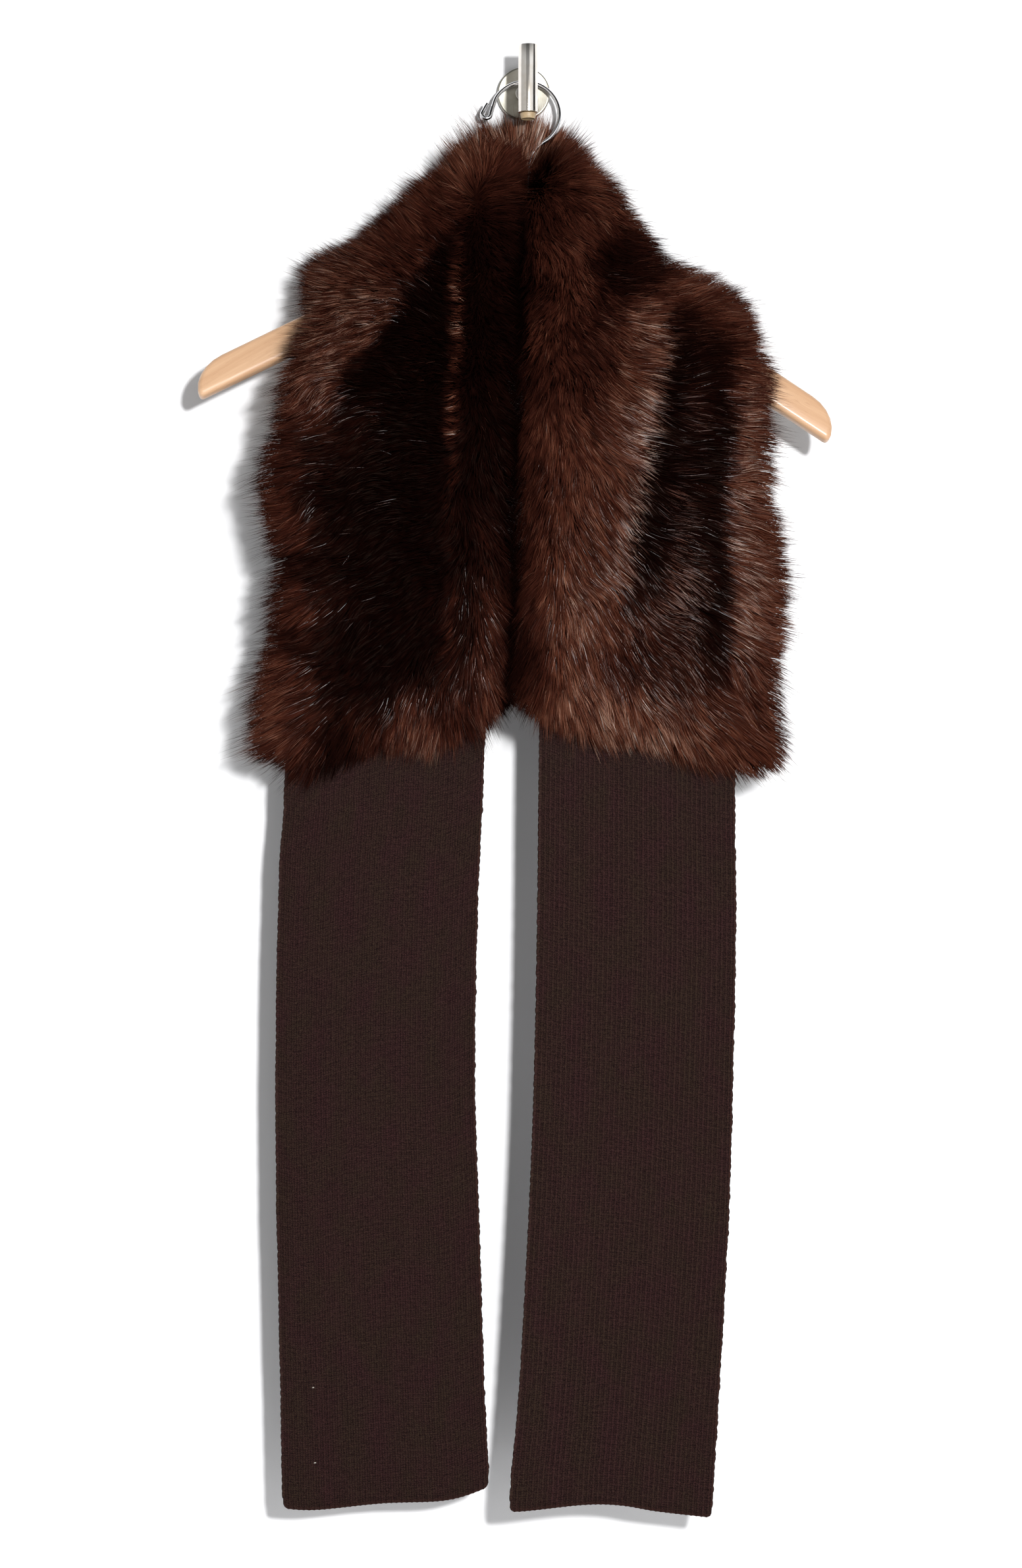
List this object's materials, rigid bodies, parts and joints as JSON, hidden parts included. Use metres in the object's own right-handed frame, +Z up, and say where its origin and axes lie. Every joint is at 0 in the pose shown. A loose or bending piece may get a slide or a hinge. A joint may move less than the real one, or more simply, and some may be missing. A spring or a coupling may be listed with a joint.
{
  "type": "fur collar wrap on a wooden hanger and wall hook",
  "caption": "Faux-fur collar wrap with two ribbed knit tails, draped over a wooden hanger with a wire hook that hangs on a bar-shaped wall peg.",
  "frame": {"origin": "centre of the rosette's flat back, where the peg is fixed to the wall", "axes": "+Z up, +Y into the wall, +X to the right as seen from the front"},
  "size_m": [0.4361, 0.1199, 1.0144],
  "materials": {
    "nickel": "satin nickel plate",
    "pale_plastic": "pale moulded end plug",
    "chrome_wire": "chromed steel wire",
    "beech": "clear-varnished beech",
    "fur": "long-pile faux mink with glossy guard hairs",
    "rib_knit": "matte one-by-one rib knit"
  },
  "bodies": {
    "root": {"wall_rosette": "nickel", "wall_peg": "nickel", "bar_plug": "pale_plastic", "hanger_hook": "chrome_wire", "hanger_wood": "beech", "fur_neck_back": "fur", "fur_front_left": "fur", "fur_front_right": "fur", "knit_tail_left": "rib_knit", "knit_tail_right": "rib_knit"}
  },
  "joints": []
}
